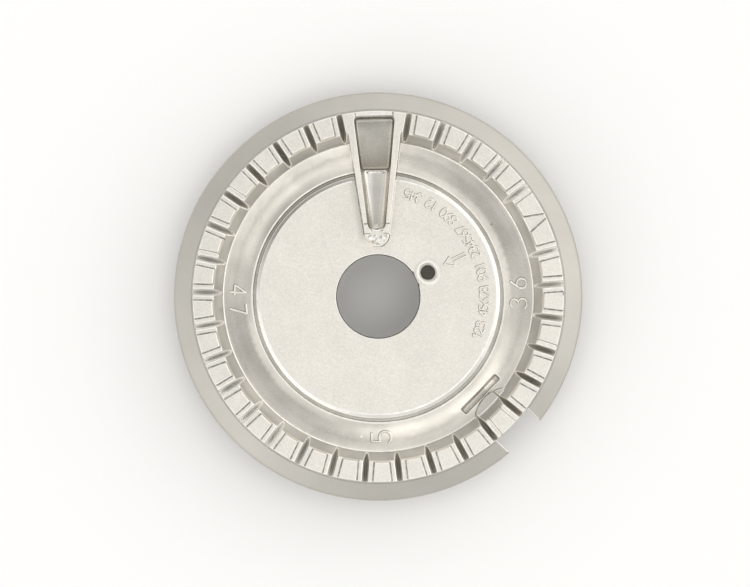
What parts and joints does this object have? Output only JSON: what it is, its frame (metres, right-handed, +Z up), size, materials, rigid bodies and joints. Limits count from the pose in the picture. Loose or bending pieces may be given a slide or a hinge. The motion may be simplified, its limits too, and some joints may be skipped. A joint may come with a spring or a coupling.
{
  "type": "gas burner base",
  "caption": "Round die-cast gas burner base with a slotted crown of ports, central throat, wedge-shaped stability chamber and a sloped flange notched for a spark electrode.",
  "frame": {"origin": "on the throat's axis, in the plane of the neck's lower end", "axes": "+Z up along the throat, towards the crown; +Y along the stability chamber"},
  "size_m": [0.1156, 0.1156, 0.0225],
  "materials": {
    "casting": "as cast and lightly blasted, matte"
  },
  "bodies": {
    "root": {"burner_base": "casting"}
  },
  "joints": []
}
